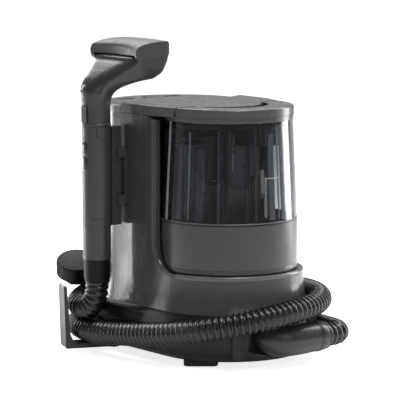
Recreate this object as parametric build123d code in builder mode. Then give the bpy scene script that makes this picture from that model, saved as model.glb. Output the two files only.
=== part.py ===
from build123d import *
import math
import os

os.makedirs("parts", exist_ok=True)

# ---------------------------------------------------------------- sizes (mm)
# Plan: +Z up, front of the machine towards -Y, wand side towards -X.
SHIFT_X = 27.83          # places the origin under the middle of the whole machine
SHIFT_Y = 12.23
FRONT_Y = -58.0         # centre of the round front end of the body
REAR_Y = 50.0           # centre of the round rear end of the body
MID_Y = (FRONT_Y + REAR_Y) / 2
SEP = REAR_Y - FRONT_Y
BODY_R = 92.0           # half width of the body
WALL = 2.5
SEAM_Z = 66.0           # joint between base pan and housing
LEDGE_Z = 111.0         # floor of the tank bay
TOP_Z = 300.0           # top of the housing walls
DECK_Z = 308.5          # top of the rear deck
LID_Z = 312.0           # top of the tank lid

TANK_Y = -57.0          # tank axis
TANK_R0 = 85.5          # tank radius, lower
TANK_R1 = 79.2          # tank radius under the lid
TANK_Z0 = 112.0
WINDOW_Z0 = 173.0
WINDOW_Z1 = 295.2

WAND_X, WAND_Y = -129.0, 40.0
GRIP_R = 17.9

HOSE_R = 14.5
ELBOW_R = 19.5
ELBOW_Y, ELBOW_Z = -166.5, 34.0
PORT_X = -7.0            # hose port in the front of the base
COLLAR_X = 47.0          # where the elbow goes into its collar


def P(x=0.0, y=0.0, z=0.0, n=(0, 0, 1), u=(1, 0, 0)):
    """Plane at a point of the machine, normal n, local x along u."""
    return Plane(origin=(x + SHIFT_X, y + SHIFT_Y, z), x_dir=u, z_dir=n)


def V(x, y, z):
    return (x + SHIFT_X, y + SHIFT_Y, z)


XZ = dict(n=(0, -1, 0), u=(1, 0, 0))     # looks at the front: local x = X, local y = Z
YZ = dict(n=(1, 0, 0), u=(0, 1, 0))      # looks at the side: local x = Y, local y = Z

done = []


def finish(builder, label):
    builder.part.label = label
    export_step(builder.part, "parts/%s.step" % label)
    done.append(label)


# ================================================================ base group
BASE_LEVELS = [(8.5, 91.0), (14, 97.5), (28, 100.5), (44, 100.5), (58, 98.0)]
with BuildPart() as base_pan:
    for z, r in BASE_LEVELS:
        with BuildSketch(P(0, MID_Y, z)):
            SlotCenterToCenter(SEP, 2 * r, rotation=90)
    loft(ruled=True)
    # sloping skirt that carries the housing
    for z, r in [(57.9, 101.0), (61.0, 101.0), (65.8, 98.6)]:
        with BuildSketch(P(0, MID_Y, z)):
            SlotCenterToCenter(SEP, 2 * r, rotation=90)
    loft(ruled=True)
    # tray inside
    with BuildSketch(P(0, MID_Y, 12)):
        SlotCenterToCenter(SEP, 2 * 94.5, rotation=90)
    extrude(amount=60, mode=Mode.SUBTRACT)
    # bay and port for the hose elbow at the front
    with BuildSketch(P(-40, ELBOW_Y, ELBOW_Z, n=(1, 0, 0), u=(0, 1, 0))):
        Circle(ELBOW_R + 1.2)
    extrude(amount=130, mode=Mode.SUBTRACT)
    with BuildSketch(P(PORT_X, -178, ELBOW_Z, n=(0, 1, 0), u=(1, 0, 0))):
        Circle(ELBOW_R + 0.4)
    extrude(amount=40, mode=Mode.SUBTRACT)
    # the bay is closed again by a wall behind the elbow
    with BuildSketch(P(0, 0, 12)):
        with BuildLine():
            Polyline([(-60, -146), (75, -138), (75, -134.5), (-60, -142.5), (-60, -146)])
        make_face()
    extrude(amount=44)
    with BuildLine() as bay_path:
        FilletPolyline(V(PORT_X, -120, ELBOW_Z), V(PORT_X, ELBOW_Y, ELBOW_Z), V(80, ELBOW_Y, ELBOW_Z), radius=20)
    with BuildSketch(P(PORT_X, -120, ELBOW_Z, n=(0, -1, 0), u=(1, 0, 0))):
        Circle(ELBOW_R + 0.4)
    sweep(path=bay_path.line, mode=Mode.SUBTRACT)
    # seats for the four feet
    for sx, fy, rot in [(-1, -92, -37), (1, -92, 37), (-1, 84, 37), (1, 84, -37)]:
        with BuildSketch(P(sx * 68, fy, 4)):
            SlotOverall(42.6, 14.6, rotation=rot)
        extrude(amount=6.0, mode=Mode.SUBTRACT)
finish(base_pan, "base_pan")

with BuildPart() as rubber_feet:
    for sx, fy, rot in [(-1, -92, -37), (1, -92, 37), (-1, 84, 37), (1, 84, -37)]:
        with BuildSketch(P(sx * 68, fy, 0)):
            SlotOverall(42.0, 14.0, rotation=rot)
        extrude(amount=10.0)
    fillet(rubber_feet.edges().group_by(Axis.Z)[0], 1.5)
finish(rubber_feet, "rubber_feet")

# ---------------------------------------------------------------- housing
FLARE = [(66.0, 98.6), (75.0, 95.9), (90.0, 93.4), (110.0, 92.2), (130.0, BODY_R)]


def housing_block(inset):
    with BuildPart(mode=Mode.PRIVATE) as blk:
        for z, r in FLARE:
            with BuildSketch(P(0, MID_Y, z)):
                SlotCenterToCenter(SEP, 2 * (r - inset), rotation=90)
        loft()
        with BuildSketch(P(0, MID_Y, 130)):
            SlotCenterToCenter(SEP, 2 * (BODY_R - inset), rotation=90)
        extrude(amount=TOP_Z - 130 - (3.0 if inset else 0.0))
    return blk.part


outer_block = housing_block(0.0)
inner_block = housing_block(WALL)

with BuildPart() as shell:
    add(outer_block)
    add(inner_block, mode=Mode.SUBTRACT)
    # wall and floor of the tank bay
    with BuildSketch(P(0, TANK_Y, LEDGE_Z - 3)):
        Circle(89.8)
    extrude(amount=TOP_Z - LEDGE_Z + 3)
    with BuildSketch(P(0, TANK_Y, LEDGE_Z)):
        Circle(87.3)
    extrude(amount=TOP_Z, mode=Mode.SUBTRACT)
    # U-shaped front opening, seen from the side
    with BuildSketch(P(-120, 0, 0, **YZ)):
        with BuildLine():
            l1 = Polyline([(-230, LEDGE_Z), (-66, LEDGE_Z)])
            l2 = RadiusArc((-66, LEDGE_Z), (-28, LEDGE_Z + 38), -38)
            l3 = Polyline([(-28, LEDGE_Z + 38), (-28, 288)])
            l4 = RadiusArc((-28, 288), (-16, TOP_Z), 12)
            l5 = Polyline([(-16, TOP_Z), (-16, TOP_Z + 20), (-230, TOP_Z + 20), (-230, LEDGE_Z)])
        make_face()
    extrude(amount=240, mode=Mode.SUBTRACT)
    # open top above the motor room, framed for the deck
    with BuildSketch(P(0, 0, TOP_Z - 5)):
        with Locations((0, MID_Y)):
            SlotCenterToCenter(SEP, 2 * (BODY_R - 12), rotation=90)
        with Locations((0, TANK_Y)):
            Circle(98, mode=Mode.SUBTRACT)
    extrude(amount=10, mode=Mode.SUBTRACT)
    # power cord port, low on the rear
    with BuildSketch(P(0, 150, 96, n=(0, -1, 0), u=(1, 0, 0))):
        Circle(8.2)
    extrude(amount=25, mode=Mode.SUBTRACT)

REAR_SPLIT = 96.0
with BuildPart() as main_housing:
    add(shell.part)
    with BuildSketch(P(0, REAR_SPLIT + 60, 76)):
        Rectangle(156, 120)
    extrude(amount=212, mode=Mode.SUBTRACT)
    # suction port and water port through the bay wall
    for pz, pr in [(262, 15.2), (124, 6.4)]:
        with BuildSketch(P(0, 20, pz, n=(0, 1, 0), u=(1, 0, 0))):
            Circle(pr)
        extrude(amount=16, mode=Mode.SUBTRACT)
finish(main_housing, "main_housing")

with BuildPart() as housing_screws:
    # self-tapping screws that close the rear cover
    for sx in (-1, 1):
        for z in (150, 280):
            with BuildSketch(P(sx * 56.0, 123.0, z, n=(0.609 * sx, 0.793, 0), u=(0, 0, 1))):
                Circle(3.4)
            extrude(amount=1.6)
            with BuildSketch(P(sx * 56.0, 123.0, z, n=(-0.609 * sx, -0.793, 0), u=(0, 0, 1))):
                Circle(1.7)
            extrude(amount=9)
finish(housing_screws, "housing_screws")

with BuildPart() as rear_cover:
    add(shell.part)
    with BuildSketch(P(0, REAR_SPLIT + 60, 76.2)):
        Rectangle(155.6, 119.4)
    extrude(amount=211.6, mode=Mode.INTERSECT)
    # exhaust louvres
    for i in range(7):
        with BuildSketch(P(0, 120, 186 + 11 * i, n=(0, 1, 0), u=(1, 0, 0))):
            SlotOverall(74, 5.0)
        extrude(amount=40, mode=Mode.SUBTRACT)
    add(housing_screws.part, mode=Mode.SUBTRACT)
finish(rear_cover, "rear_cover")

with BuildPart() as vent_filter:
    with BuildSketch(P(0, 128.9, 219, n=(0, -1, 0), u=(1, 0, 0))):
        RectangleRounded(80, 84, 6)
    extrude(amount=2.6)
finish(vent_filter, "vent_filter")

# rear deck that closes the top behind the tank
with BuildPart() as rear_deck:
    with BuildSketch(P(0, 0, TOP_Z + 0.2)):
        with Locations((0, MID_Y)):
            SlotCenterToCenter(SEP, 2 * (BODY_R + 0.2), rotation=90)
        with Locations((0, -120)):
            Rectangle(220, 240, mode=Mode.SUBTRACT)
        with Locations((0, 191.5)):
            Circle(177.5, mode=Mode.INTERSECT)
    extrude(amount=DECK_Z - TOP_Z - 0.2)
    fillet(rear_deck.faces().sort_by(Axis.Z)[-1].edges(), 2.6)
    with BuildSketch(P(0, 191.5, TOP_Z + 0.2)):
        Circle(174.5)
        with Locations((0, -191.5 + MID_Y)):
            SlotCenterToCenter(SEP, 2 * (BODY_R - 2.8), rotation=90, mode=Mode.INTERSECT)
    extrude(amount=5.4, mode=Mode.SUBTRACT)
    for sx in (-1, 1):
        with BuildSketch(P(sx * 36, 108, DECK_Z + 1, n=(0, 0, -1), u=(1, 0, 0))):
            SlotOverall(26, 9)
        extrude(amount=12, mode=Mode.SUBTRACT)
    with BuildSketch(P(0, 112, TOP_Z - 5)):
        Circle(11.3)
    extrude(amount=20, mode=Mode.SUBTRACT)
finish(rear_deck, "rear_deck")

with BuildPart() as deck_grilles:
    for sx in (-1, 1):
        with BuildSketch(P(sx * 36, 108, DECK_Z - 5.6)):
            SlotOverall(25.6, 8.6)
            with GridLocations(4.6, 1, 5, 1):
                Rectangle(2.2, 6.0, mode=Mode.SUBTRACT)
        extrude(amount=4.4)
finish(deck_grilles, "deck_grilles")

with BuildPart() as power_button:
    with BuildSketch(P(0, 112, TOP_Z + 1)):
        Circle(11.0)
    extrude(amount=DECK_Z - TOP_Z - 0.2)
    fillet(power_button.edges().group_by(Axis.Z)[-1], 1.2)
    with BuildSketch(P(0, 112, TOP_Z + 1)):
        Circle(13.0)
    extrude(amount=1.2)
    with BuildSketch(P(0, 112, TOP_Z - 6)):
        Circle(3.0)
    extrude(amount=7)
finish(power_button, "power_button")

with BuildPart() as switch_block:
    with BuildSketch(P(0, 112, TOP_Z - 26)):
        RectangleRounded(24, 18, 2)
    extrude(amount=20)
    with BuildSketch(P(0, 112, TOP_Z - 12)):
        Circle(3.06)
    extrude(amount=10, mode=Mode.SUBTRACT)
finish(switch_block, "switch_block")

with BuildPart() as cord_gland:
    with BuildSketch(P(0, 133, 96, n=(0, 1, 0), u=(1, 0, 0))):
        Circle(8.0)
    extrude(amount=14.2)
    with BuildSketch(P(0, 144.8, 96, n=(0, 1, 0), u=(1, 0, 0))):
        Circle(11.0)
    extrude(amount=2.4)
    with BuildSketch(P(0, 130, 96, n=(0, 1, 0), u=(1, 0, 0))):
        Circle(3.8)
    extrude(amount=20, mode=Mode.SUBTRACT)
finish(cord_gland, "cord_gland")


# ---------------------------------------------------------------- hose rack
UX, UY = -0.94, 0.341
RACK_X, RACK_Y = -147.0, 84.0
with BuildPart() as hose_rack:
    # side profile of arm and upright, extruded over the width
    with BuildSketch(P(RACK_X - 14 * 0.341, RACK_Y - 14 * 0.94, 0, n=(0.341, 0.94, 0), u=(UX, UY, 0))):
        with BuildLine():
            Polyline([(-54, 5.5), (1.5, 5.5), (3.0, 7.5), (5.2, 83), (3.6, 84.6), (1.2, 83.6), (-3.0, 24), (-8.0, 11.2), (-54, 11.2), (-54, 5.5)])
        make_face()
    extrude(amount=28)
    add(base_pan.part, mode=Mode.SUBTRACT)
finish(hose_rack, "hose_rack")

# ---------------------------------------------------------------- cord hook
HOOK = (-97.0, 133.0)
NX, NY, NZ = -0.254, -0.3375, 0.9063       # the hook's cap leans to the front left
CAP_TOP_Z = 105.0
CAP_T = 19.0
cb = (HOOK[0] - CAP_T * NX, HOOK[1] - CAP_T * NY, CAP_TOP_Z - CAP_T * NZ)
RX, RY = -0.76, 0.65                        # outward direction of its bracket
with BuildPart() as hook_bracket:
    with BuildSketch(P(HOOK[0] - 0.65 * 9, HOOK[1] - 0.76 * 9, 0, n=(0.65, 0.76, 0), u=(RX, RY, 0))):
        with BuildLine():
            Polyline([(-42, 74), (6, 74), (12, 78), (4, 84), (-14, 88), (-26, 104), (-42, 110), (-42, 74)])
        make_face()
    extrude(amount=18)
    with BuildSketch(P(cb[0] - 0.4 * NX, cb[1] - 0.4 * NY, cb[2] - 0.4 * NZ, n=(-NX, -NY, -NZ), u=(NZ, 0, -NX))):
        Circle(25.8)
    extrude(amount=-24, mode=Mode.SUBTRACT)
    with BuildSketch(P(cb[0] - 0.4 * NX, cb[1] - 0.4 * NY, cb[2] - 0.4 * NZ, n=(-NX, -NY, -NZ), u=(NZ, 0, -NX))):
        Circle(9.5)
    extrude(amount=10)
    with BuildSketch(P(0, 0, 60)):
        with Locations((-90, 130)):
            Rectangle(140, 140)
    extrude(amount=13.5, mode=Mode.SUBTRACT)
    with BuildSketch(P(cb[0] - 2 * NX, cb[1] - 2 * NY, cb[2] - 2 * NZ, n=(NX, NY, NZ), u=(NZ, 0, -NX))):
        Circle(4.5)
    extrude(amount=15)
    add(outer_block, mode=Mode.SUBTRACT)
finish(hook_bracket, "hook_bracket")

with BuildPart() as cord_hook_cap:
    with BuildSketch(P(cb[0], cb[1], cb[2], n=(NX, NY, NZ), u=(NZ, 0, -NX))):
        Circle(25.0)
    extrude(amount=CAP_T)
    fillet(cord_hook_cap.edges().filter_by(GeomType.CIRCLE).sort_by(Axis.Z)[-1], 1.6)
    with BuildSketch(P(cb[0], cb[1], cb[2], n=(NX, NY, NZ), u=(NZ, 0, -NX))):
        Circle(4.56)
    extrude(amount=14, mode=Mode.SUBTRACT)
finish(cord_hook_cap, "cord_hook_cap")

# ---------------------------------------------------------------- wand dock
with BuildPart() as wand_dock:
    with BuildSketch(P(-92.0, WAND_Y, 222.5, n=(-1, 0, 0), u=(0, 1, 0))):
        RectangleRounded(24, 69, 3)
    extrude(amount=3.0)
    for z in (251.5, 193.5):
        with BuildSketch(P(-94.0, WAND_Y, z, n=(-1, 0, 0), u=(0, 1, 0))):
            Rectangle(24, 11)
            Rectangle(17.2, 11, mode=Mode.SUBTRACT)
        extrude(amount=11)
        with BuildSketch(P(-94.0, WAND_Y, z, n=(-1, 0, 0), u=(0, 1, 0))):
            Rectangle(24, 11)
        extrude(amount=3.2)
finish(wand_dock, "wand_dock")

# ---------------------------------------------------------------- hose elbow
with BuildPart() as hose_elbow:
    with BuildLine() as elbow_path:
        FilletPolyline(V(PORT_X, -128, ELBOW_Z), V(PORT_X, ELBOW_Y, ELBOW_Z), V(COLLAR_X + 6, ELBOW_Y, ELBOW_Z), radius=20)
    with BuildSketch(P(PORT_X, -128, ELBOW_Z, n=(0, -1, 0), u=(1, 0, 0))):
        Circle(ELBOW_R)
    sweep(path=elbow_path.line)
    with BuildSketch(P(PORT_X, -128, ELBOW_Z, n=(0, -1, 0), u=(1, 0, 0))):
        Circle(13.0)
    sweep(path=elbow_path.line, mode=Mode.SUBTRACT)
    with BuildSketch(P(COLLAR_X + 5.5, ELBOW_Y, ELBOW_Z, n=(-1, 0, 0), u=(0, 1, 0))):
        Circle(ELBOW_R + 1)
        Circle(17.6, mode=Mode.SUBTRACT)
    extrude(amount=-6, mode=Mode.SUBTRACT)
finish(hose_elbow, "hose_elbow")

with BuildPart() as elbow_collar:
    with BuildSketch(P(COLLAR_X, ELBOW_Y, ELBOW_Z, n=(1, 0, 0), u=(0, 1, 0))):
        Circle(20.9)
    extrude(amount=18)
    fillet(elbow_collar.edges().filter_by(GeomType.CIRCLE), 1.2)
    with BuildSketch(P(COLLAR_X, ELBOW_Y, ELBOW_Z, n=(1, 0, 0), u=(0, 1, 0))):
        Circle(ELBOW_R + 0.04)
    extrude(amount=6, mode=Mode.SUBTRACT)
    with BuildSketch(P(COLLAR_X, ELBOW_Y, ELBOW_Z, n=(1, 0, 0), u=(0, 1, 0))):
        Circle(13.0)
    extrude(amount=18, mode=Mode.SUBTRACT)
finish(elbow_collar, "elbow_collar")

# ---------------------------------------------------------------- vacuum unit
MOT = (0.0, 80.0)
with BuildPart() as motor_case:
    with BuildSketch(P(MOT[0], MOT[1], 136)):
        Circle(36)
    extrude(amount=72)
    fillet(motor_case.edges().group_by(Axis.Z)[0], 4)
    with BuildSketch(P(MOT[0], MOT[1], 140)):
        Circle(33)
    extrude(amount=65, mode=Mode.SUBTRACT)
    with BuildSketch(P(MOT[0], MOT[1], 130)):
        Circle(9.0)
    extrude(amount=90, mode=Mode.SUBTRACT)
finish(motor_case, "motor_case")

with BuildPart() as motor_stator:
    with BuildSketch(P(MOT[0], MOT[1], 150)):
        Circle(32.9)
        Circle(19.5, mode=Mode.SUBTRACT)
    extrude(amount=40)
finish(motor_stator, "motor_stator")

with BuildPart() as motor_rotor:
    with BuildSketch(P(MOT[0], MOT[1], 152)):
        Circle(18.8)
        Circle(4.02, mode=Mode.SUBTRACT)
    extrude(amount=36)
finish(motor_rotor, "motor_rotor")

with BuildPart() as motor_shaft:
    with BuildSketch(P(MOT[0], MOT[1], 128)):
        Circle(4.0)
    extrude(amount=112)
finish(motor_shaft, "motor_shaft")

with BuildPart() as motor_bearings:
    for z in (136.2, 200.2):
        with BuildSketch(P(MOT[0], MOT[1], z)):
            Circle(8.98)
            Circle(4.05, mode=Mode.SUBTRACT)
        extrude(amount=7)
finish(motor_bearings, "motor_bearings")

with BuildPart() as impeller:
    with BuildSketch(P(MOT[0], MOT[1], 220)):
        Circle(40)
        Circle(4.02, mode=Mode.SUBTRACT)
    extrude(amount=2)
    with BuildSketch(P(MOT[0], MOT[1], 222)):
        with PolarLocations(24, 9):
            Rectangle(30, 2.2, rotation=32)
        Circle(40, mode=Mode.INTERSECT)
        Circle(11)
        Circle(4.02, mode=Mode.SUBTRACT)
    extrude(amount=11)
finish(impeller, "impeller")

with BuildPart() as fan_housing:
    with BuildSketch(P(MOT[0], MOT[1], 209)):
        Circle(46)
    extrude(amount=33)
    with BuildSketch(P(MOT[0], MOT[1], 212)):
        Circle(43)
    extrude(amount=27, mode=Mode.SUBTRACT)
    with BuildSketch(P(MOT[0], MOT[1], 208)):
        Circle(9.0)
    extrude(amount=5, mode=Mode.SUBTRACT)
    with BuildSketch(P(MOT[0], MOT[1], 238)):
        Circle(16)
    extrude(amount=6, mode=Mode.SUBTRACT)
    with BuildSketch(P(30, MOT[1], 224, n=(1, 0, 0), u=(0, 1, 0))):
        RectangleRounded(26, 16, 3)
    extrude(amount=20, mode=Mode.SUBTRACT)
finish(fan_housing, "fan_housing")

with BuildPart() as suction_duct:
    with BuildSketch(P(MOT[0], MOT[1], 242)):
        Circle(18.5)
    extrude(amount=40)
    fillet(suction_duct.edges().group_by(Axis.Z)[-1], 6)
    with BuildSketch(P(0, MOT[1], 262, n=(0, -1, 0), u=(1, 0, 0))):
        Circle(17.5)
    extrude(amount=51)
    with BuildSketch(P(MOT[0], MOT[1], 241)):
        Circle(15)
    extrude(amount=36, mode=Mode.SUBTRACT)
    with BuildSketch(P(0, MOT[1], 262, n=(0, -1, 0), u=(1, 0, 0))):
        Circle(14.2)
    extrude(amount=60, mode=Mode.SUBTRACT)
    with BuildSketch(P(0, TANK_Y, 230)):
        Circle(90.2)
    extrude(amount=70, mode=Mode.SUBTRACT)
finish(suction_duct, "suction_duct")

with BuildPart() as water_pump:
    with BuildSketch(P(44, 72, 74)):
        RectangleRounded(40, 46, 5)
    extrude(amount=34)
    with BuildSketch(P(44, 72, 108)):
        Circle(15)
    extrude(amount=16)
    with BuildSketch(P(44, 50, 92, n=(0, -1, 0), u=(1, 0, 0))):
        Circle(5)
    extrude(amount=10)
finish(water_pump, "water_pump")

with BuildPart() as check_valve:
    with BuildSketch(P(0, 55, 124, n=(0, -1, 0), u=(1, 0, 0))):
        Circle(9.5)
    extrude(amount=22)
    with BuildSketch(P(0, 56, 124, n=(0, -1, 0), u=(1, 0, 0))):
        Circle(4.0)
    extrude(amount=40, mode=Mode.SUBTRACT)
    with BuildSketch(P(0, TANK_Y, 105)):
        Circle(90.2)
    extrude(amount=40, mode=Mode.SUBTRACT)
finish(check_valve, "check_valve")

with BuildPart() as control_board:
    with BuildSketch(P(-58, 60, 150, n=(1, 0, 0), u=(0, 1, 0))):
        RectangleRounded(50, 70, 2)
    extrude(amount=1.6)
    with BuildSketch(P(-56.4, 60, 150, n=(1, 0, 0), u=(0, 1, 0))):
        with Locations((-12, 18), (12, 15), (0, -15)):
            Rectangle(14, 12)
    extrude(amount=9)
finish(control_board, "control_board")

# ================================================================ recovery tank
with BuildPart() as tank_skirt:
    # opaque lower cup of the tank
    with BuildSketch(P(0, TANK_Y, TANK_Z0)):
        Circle(TANK_R0)
    extrude(amount=WINDOW_Z0 - TANK_Z0)
    fillet(tank_skirt.edges().group_by(Axis.Z)[0], 4)
    with BuildSketch(P(0, TANK_Y, TANK_Z0 + 3)):
        Circle(TANK_R0 - 2.8)
    extrude(amount=80, mode=Mode.SUBTRACT)
    # water outlet at the back
    with BuildSketch(P(0, 0, 124, n=(0, 1, 0), u=(1, 0, 0))):
        Circle(4.1)
    extrude(amount=40, mode=Mode.SUBTRACT)
finish(tank_skirt, "tank_skirt")

with BuildPart() as tank_window:
    for z, r in [(WINDOW_Z0 + 0.02, TANK_R0), (WINDOW_Z1, TANK_R1)]:
        with BuildSketch(P(0, TANK_Y, z)):
            Circle(r)
    loft(ruled=True)
    with BuildSketch(P(0, TANK_Y, WINDOW_Z0 - 2)):
        Circle(TANK_R0 - 2.3)
    with BuildSketch(P(0, TANK_Y, WINDOW_Z1 + 2)):
        Circle(TANK_R1 - 2.5)
    loft(ruled=True, mode=Mode.SUBTRACT)
    # port that meets the suction duct
    with BuildSketch(P(0, -10, 262, n=(0, 1, 0), u=(1, 0, 0))):
        Circle(15)
    extrude(amount=60, mode=Mode.SUBTRACT)
finish(tank_window, "tank_window")

# plan of the lid: round at the front, widening to the full body width behind
PIVOT_Y, PIVOT_Z = -60.5, 307.0          # hinge line of the carry handle
with BuildPart() as tank_lid:
    with BuildSketch(P(0, 0, TOP_Z + 0.5)):
        with BuildLine():
            Polyline([(-BODY_R - 0.2, 80), (-BODY_R - 0.2, -20), (-80.6, -60)])
            ThreePointArc((-80.6, -60), (0, TANK_Y - 80.6), (80.6, -60))
            Polyline([(80.6, -60), (BODY_R + 0.2, -20), (BODY_R + 0.2, 80), (-BODY_R - 0.2, 80)])
        make_face()
        with Locations((0, 191.5)):
            Circle(177.9, mode=Mode.SUBTRACT)
    extrude(amount=LID_Z - TOP_Z - 0.5)
    fillet(tank_lid.faces().sort_by(Axis.Z)[-1].edges(), 2.4)
    # lower band that closes on the window
    with BuildSketch(P(0, TANK_Y, WINDOW_Z1 + 0.3)):
        Circle(79.9)
    extrude(amount=TOP_Z - 0.1 - WINDOW_Z1 - 0.3)
    with BuildSketch(P(0, TANK_Y, TOP_Z - 0.1)):
        Circle(79.9)
        with Locations((0, 191.5 - TANK_Y)):
            Circle(177.9, mode=Mode.SUBTRACT)
    extrude(amount=0.7)
    # plug inside the window
    with BuildSketch(P(0, TANK_Y, WINDOW_Z1 - 7)):
        Circle(TANK_R1 - 6.0)
    extrude(amount=10)
    with BuildSketch(P(0, TANK_Y, WINDOW_Z1 - 8)):
        Circle(TANK_R1 - 8.5)
    extrude(amount=13, mode=Mode.SUBTRACT)
    # seat of the carry handle and finger well behind it
    with BuildSketch(P(0, 0, 301.6)):
        with Locations((0, TANK_Y)):
            Circle(90)
            Circle(49.1, mode=Mode.SUBTRACT)
        with Locations((0, 10)):
            Rectangle(240, 130, mode=Mode.SUBTRACT)
    extrude(amount=20, mode=Mode.SUBTRACT)
    with BuildSketch(P(0, 0, 303.5)):
        with Locations((0, TANK_Y)):
            Circle(50)
        with Locations((0, TANK_Y + 14)):
            Circle(49, mode=Mode.SUBTRACT)
        with Locations((0, -1)):
            Rectangle(240, 130, mode=Mode.SUBTRACT)
    extrude(amount=20, mode=Mode.SUBTRACT)
    # bores for the handle pins
    for sx in (-1, 1):
        with BuildSketch(P(sx * 40, PIVOT_Y, PIVOT_Z, n=(sx, 0, 0), u=(0, 1, 0))):
            Circle(2.0)
        extrude(amount=16, mode=Mode.SUBTRACT)
finish(tank_lid, "tank_lid")

with BuildPart() as lid_seal:
    with BuildSketch(P(0, TANK_Y, 289)):
        Circle(76.5)
        Circle(73.22, mode=Mode.SUBTRACT)
    extrude(amount=4)
finish(lid_seal, "lid_seal")

with BuildPart() as carry_handle:
    with BuildSketch(P(0, 0, 301.9)):
        with Locations((0, TANK_Y)):
            Circle(80.6)
            Circle(50.2, mode=Mode.SUBTRACT)
        with Locations((0, PIVOT_Y + 60)):
            Rectangle(240, 120, mode=Mode.SUBTRACT)
    extrude(amount=10.2)
    fillet(carry_handle.edges().filter_by(GeomType.CIRCLE).group_by(Axis.Z)[-1].sort_by(SortBy.LENGTH)[-1], 2.2)
    # rounded ends on the hinge line
    for sx in (-1, 1):
        with BuildSketch(P(sx * 51.0, PIVOT_Y, PIVOT_Z, n=(sx, 0, 0), u=(0, 1, 0))):
            Circle(5.1)
        extrude(amount=29)
    with BuildSketch(P(0, 0, 295)):
        with Locations((0, TANK_Y)):
            Circle(80.6)
    extrude(amount=30, mode=Mode.INTERSECT)
    for sx in (-1, 1):
        with BuildSketch(P(sx * 49, PIVOT_Y, PIVOT_Z, n=(sx, 0, 0), u=(0, 1, 0))):
            Circle(2.06)
        extrude(amount=24, mode=Mode.SUBTRACT)
finish(carry_handle, "carry_handle")

with BuildPart() as handle_pins:
    for sx in (-1, 1):
        with BuildSketch(P(sx * 40, PIVOT_Y, PIVOT_Z, n=(sx, 0, 0), u=(0, 1, 0))):
            Circle(2.0)
        extrude(amount=32)
finish(handle_pins, "handle_pins")

with BuildPart() as tank_divider:
    # wall between clean and recovered water, with a curved clean-water chamber
    for z0, z1, r in [(115.2, 173, 82.6), (173, 215, 80.8), (215, 255, 78.6), (255, 283, 77.2)]:
        with BuildSketch(P(0, TANK_Y, z0)):
            Circle(r)
            with Locations((0, 30)):
                Rectangle(200, 2.4, mode=Mode.INTERSECT)
        extrude(amount=z1 - z0)
finish(tank_divider, "tank_divider")

with BuildPart() as standpipe:
    with BuildSketch(P(-4, -62, 115.2)):
        Circle(6.5)
        Circle(4.9, mode=Mode.SUBTRACT)
    extrude(amount=160)
    with BuildSketch(P(-4, -62, 275.2)):
        RectangleRounded(20, 14, 3)
        Circle(4.9, mode=Mode.SUBTRACT)
    extrude(amount=5)
finish(standpipe, "standpipe")

with BuildPart() as air_separator:
    # hollow box under the lid that the airflow turns round
    with BuildSketch(P(30, -76, 262)):
        RectangleRounded(46, 36, 6)
    extrude(amount=38.2)
    with BuildSketch(P(30, -76, 264)):
        RectangleRounded(42, 32, 4)
    extrude(amount=40, mode=Mode.SUBTRACT)
    with BuildSketch(P(30, -76, 261)):
        Circle(9)
    extrude(amount=4, mode=Mode.SUBTRACT)
finish(air_separator, "air_separator")

with BuildPart() as float_guide:
    # two ribs and a base that keep the float in line
    with BuildSketch(P(30, -76, 115.2)):
        Circle(16)
    extrude(amount=3)
    for sx in (-1, 1):
        with BuildSketch(P(30 + sx * 14.5, -76, 118.2)):
            Rectangle(2, 8)
        extrude(amount=143.6)
finish(float_guide, "float_guide")

with BuildPart() as tank_float:
    with BuildSketch(P(30, -76, 196)):
        Circle(12.6)
    extrude(amount=26)
    fillet(tank_float.edges(), 3)
finish(tank_float, "tank_float")

with BuildPart() as valve_guide:
    with BuildSketch(P(0, 0, 124, n=(0, 1, 0), u=(1, 0, 0))):
        Circle(8)
    extrude(amount=25.4)
    with BuildSketch(P(0, -1, 124, n=(0, 1, 0), u=(1, 0, 0))):
        Circle(4.1)
    extrude(amount=40, mode=Mode.SUBTRACT)
    with BuildSketch(P(0, -1, 124, n=(0, 1, 0), u=(1, 0, 0))):
        Circle(6.4)
    extrude(amount=13, mode=Mode.SUBTRACT)
    with BuildSketch(P(0, 0, 110)):
        with Locations((0, TANK_Y)):
            Circle(82.6)
    extrude(amount=60, mode=Mode.INTERSECT)
finish(valve_guide, "valve_guide")

with BuildPart() as tank_valve:
    with BuildSketch(P(0, 8.2, 124, n=(0, 1, 0), u=(1, 0, 0))):
        Circle(4.03)
    extrude(amount=18.6)
    with BuildSketch(P(0, 5.0, 124, n=(0, 1, 0), u=(1, 0, 0))):
        Circle(6.2)
    extrude(amount=3.2)
finish(tank_valve, "tank_valve")

# ================================================================ wand
def W(z, n=(0, 0, 1), u=(1, 0, 0), dx=0.0, dy=0.0):
    return P(WAND_X + dx, WAND_Y + dy, z, n=n, u=u)


BUTTONS = (260.0, 241.0)
with BuildPart() as wand_tube:
    with BuildSketch(W(121.0)):
        Circle(16.6)
    extrude(amount=164.6)
    with BuildSketch(W(121.0)):
        Circle(17.3)
    extrude(amount=40.4)
    with BuildSketch(W(120)):
        Circle(12.5)
    extrude(amount=170, mode=Mode.SUBTRACT)
    for z in BUTTONS:
        with BuildSketch(W(z, n=(-1, 0, 0), u=(0, 1, 0), dx=-13.2)):
            SlotOverall(14.8, 9.8, rotation=90)
        extrude(amount=6, mode=Mode.SUBTRACT)
finish(wand_tube, "wand_tube")

C0, C1 = 207.0, 293.0        # angular limits of the grip cover


def wedge(a0, a1, r=40.0):
    pts = [(0, 0)]
    n = 8
    for i in range(n + 1):
        a = math.radians(a0 + (a1 - a0) * i / n)
        pts.append((r * math.cos(a), r * math.sin(a)))
    pts.append((0, 0))
    return pts


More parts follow.
